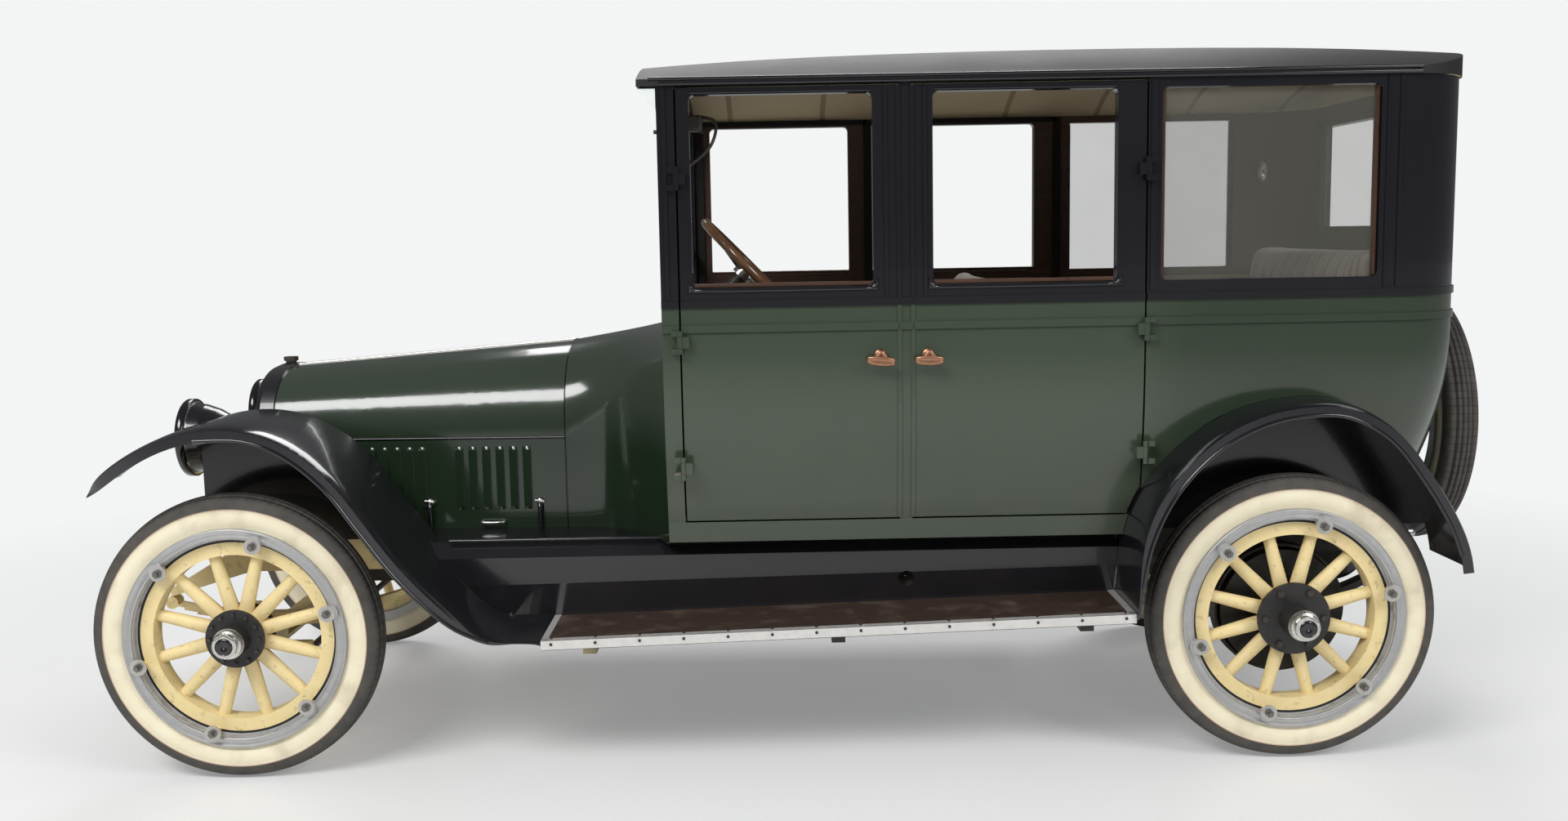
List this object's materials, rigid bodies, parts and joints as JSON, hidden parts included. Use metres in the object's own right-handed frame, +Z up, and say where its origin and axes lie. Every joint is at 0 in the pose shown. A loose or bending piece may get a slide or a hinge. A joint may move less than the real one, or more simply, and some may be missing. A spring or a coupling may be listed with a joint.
{
  "type": "vintage closed sedan car",
  "caption": "Full-size closed sedan of about 1920 with wooden spoke wheels, steered front wheels, hinged doors, running boards and a rear-mounted spare tyre.",
  "frame": {"origin": "on the ground, midway between the tips of the front fenders and the back of the spare tyre, on the car's middle line", "axes": "+X to the rear of the car, +Y to its right side, +Z up"},
  "size_m": [4.289, 1.76, 2.1661],
  "materials": {
    "body_green": "gloss coach paint, dark green",
    "body_black": "gloss black enamel",
    "frame_cream": "cream-yellow enamel, worn",
    "wheel_wood": "cream-yellow paint on hickory",
    "tyre_rubber": "black tread with cream side walls",
    "rim_steel": "silver-painted steel",
    "axle_iron": "black paint on forged iron",
    "window_glass": "clear pane",
    "upholstery": "striped brown-grey velour",
    "cabin_wood": "dark brown varnish",
    "board_cover": "brown linoleum cover"
  },
  "bodies": {
    "root": {"body_floor": "body_green", "bonnet": "body_green", "chassis_frame": "frame_cream", "cowl": "body_green", "dashboard": "cabin_wood", "door_posts": "body_green", "driver_controls": "axle_iron", "engine_block": "axle_iron", "exhaust": "axle_iron", "front_axle": "frame_cream", "front_fenders": "body_black", "front_seat": "upholstery", "fuel_tank": "body_black", "glazing": "window_glass", "headlamps": "body_black", "leaf_springs": "frame_cream", "radiator_core": "axle_iron", "radiator_shell": "body_black", "rear_axle": "axle_iron", "rear_body": "body_green", "rear_fenders": "body_black", "rear_seat": "upholstery", "roof": "body_black", "running_boards": "board_cover", "seat_bases": "cabin_wood", "spare_carrier": "rim_steel", "spare_tyre": "tyre_rubber", "splash_aprons": "body_black", "windscreen_frame": "body_black"},
    "knuckle_left": {"knuckle_left": "frame_cream"},
    "knuckle_right": {"knuckle_right": "frame_cream"},
    "tie_rod": {"tie_rod": "axle_iron"},
    "steering_wheel": {"steering_wheel": "cabin_wood"},
    "wheel_front_left": {"wheel_front_left": "wheel_wood", "tyre_front_left": "tyre_rubber"},
    "door_front_left": {"door_front_left": "body_green"},
    "wheel_front_right": {"wheel_front_right": "wheel_wood", "tyre_front_right": "tyre_rubber"},
    "door_front_right": {"door_front_right": "body_green"},
    "wheel_rear_left": {"wheel_rear_left": "wheel_wood", "tyre_rear_left": "tyre_rubber"},
    "door_rear_left": {"door_rear_left": "body_green"},
    "wheel_rear_right": {"wheel_rear_right": "wheel_wood", "tyre_rear_right": "tyre_rubber"},
    "door_rear_right": {"door_rear_right": "body_green"}
  },
  "joints": [
    {"name": "steer_left", "type": "hinge", "parent": "root", "child": "knuckle_left", "pos_m": [-1.727, -0.605, 0.432], "axis": [0, 0, 1], "range_deg": [-28, 28]},
    {"name": "steer_right", "type": "hinge", "parent": "root", "child": "knuckle_right", "pos_m": [-1.727, 0.605, 0.432], "axis": [0, 0, 1], "range_deg": [-28, 28]},
    {"name": "tie_rod_pin", "type": "hinge", "parent": "knuckle_left", "child": "tie_rod", "pos_m": [-1.562, -0.605, 0.3495], "axis": [0, 0, 1], "range_deg": [-28, 28]},
    {"name": "steering_wheel_turn", "type": "hinge", "parent": "root", "child": "steering_wheel", "pos_m": [-0.184, -0.285, 1.491], "axis": [0.7218, 0, 0.6921], "range_deg": [-336, 336]},
    {"name": "roll_front_left", "type": "hinge", "parent": "knuckle_left", "child": "wheel_front_left", "pos_m": [-1.727, -0.711, 0.432], "axis": [0, 1, 0], "continuous": true},
    {"name": "roll_front_right", "type": "hinge", "parent": "knuckle_right", "child": "wheel_front_right", "pos_m": [-1.727, 0.711, 0.432], "axis": [0, 1, 0], "continuous": true},
    {"name": "roll_rear_left", "type": "hinge", "parent": "root", "child": "wheel_rear_left", "pos_m": [1.423, -0.711, 0.432], "axis": [0, 1, 0], "continuous": true},
    {"name": "roll_rear_right", "type": "hinge", "parent": "root", "child": "wheel_rear_right", "pos_m": [1.423, 0.711, 0.432], "axis": [0, 1, 0], "continuous": true},
    {"name": "open_front_left", "type": "hinge", "parent": "root", "child": "door_front_left", "pos_m": [-0.385, -0.727, 1.2], "axis": [0, 0, -1], "range_deg": [0, 70]},
    {"name": "open_rear_left", "type": "hinge", "parent": "root", "child": "door_rear_left", "pos_m": [0.98375, -0.727, 1.2], "axis": [0, 0, 1], "range_deg": [0, 75]},
    {"name": "open_front_right", "type": "hinge", "parent": "root", "child": "door_front_right", "pos_m": [-0.385, 0.727, 1.2], "axis": [0, 0, 1], "range_deg": [0, 70]},
    {"name": "open_rear_right", "type": "hinge", "parent": "root", "child": "door_rear_right", "pos_m": [0.98375, 0.727, 1.2], "axis": [0, 0, -1], "range_deg": [0, 75]}
  ],
  "couplings": [
    {"joint": "steer_right", "follows": "steer_left", "ratio": 1},
    {"joint": "tie_rod_pin", "follows": "steer_left", "ratio": -1},
    {"joint": "steering_wheel_turn", "follows": "steer_left", "ratio": 12}
  ]
}
